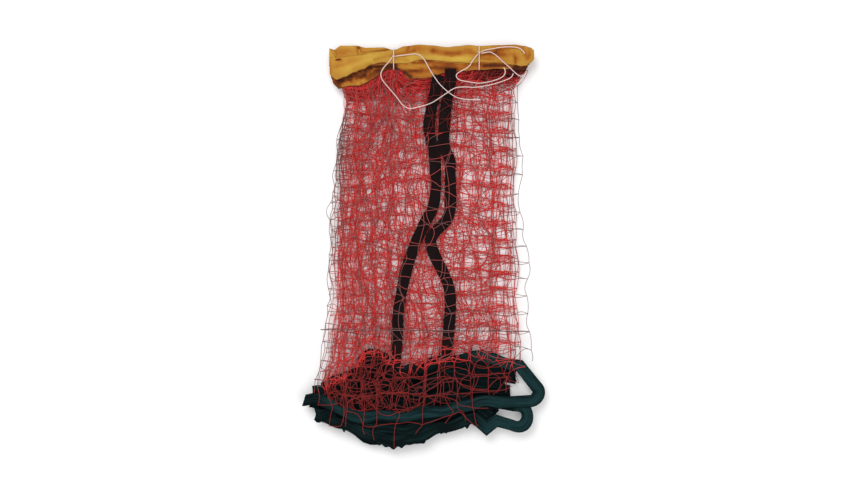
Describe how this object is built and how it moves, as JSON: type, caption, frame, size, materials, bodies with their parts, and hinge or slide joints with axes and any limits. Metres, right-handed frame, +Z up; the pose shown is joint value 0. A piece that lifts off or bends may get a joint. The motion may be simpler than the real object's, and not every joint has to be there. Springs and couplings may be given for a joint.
{
  "type": "folded badminton net",
  "caption": "Badminton net folded flat for storage: doubled cloth headband, square-mesh netting, dark side and bottom tapes, and thread ties round the folded head.",
  "frame": {"origin": "on the surface that the folded net lies on, below the middle of its outline", "axes": "+Z up, +Y along the net's depth towards the headband, +X across the folds to the right"},
  "size_m": [0.4466, 0.7416, 0.0302],
  "materials": {
    "band_cloth": "matt",
    "net_twine": "matt",
    "side_cloth": "matt",
    "bottom_cloth": "matt",
    "tie_thread": "matt"
  },
  "bodies": {
    "root": {"headband": "band_cloth", "netting": "net_twine", "side_tape_left": "side_cloth", "side_tape_right": "side_cloth", "bottom_tape": "bottom_cloth", "tie_left_wrap": "tie_thread", "tie_right_wrap": "tie_thread", "tie_left_knot": "tie_thread", "tie_right_knot": "tie_thread", "tie_left_end_a": "tie_thread", "tie_left_end_b": "tie_thread", "tie_right_end_a": "tie_thread", "tie_right_end_b": "tie_thread", "tie_right_end_c": "tie_thread"}
  },
  "joints": []
}
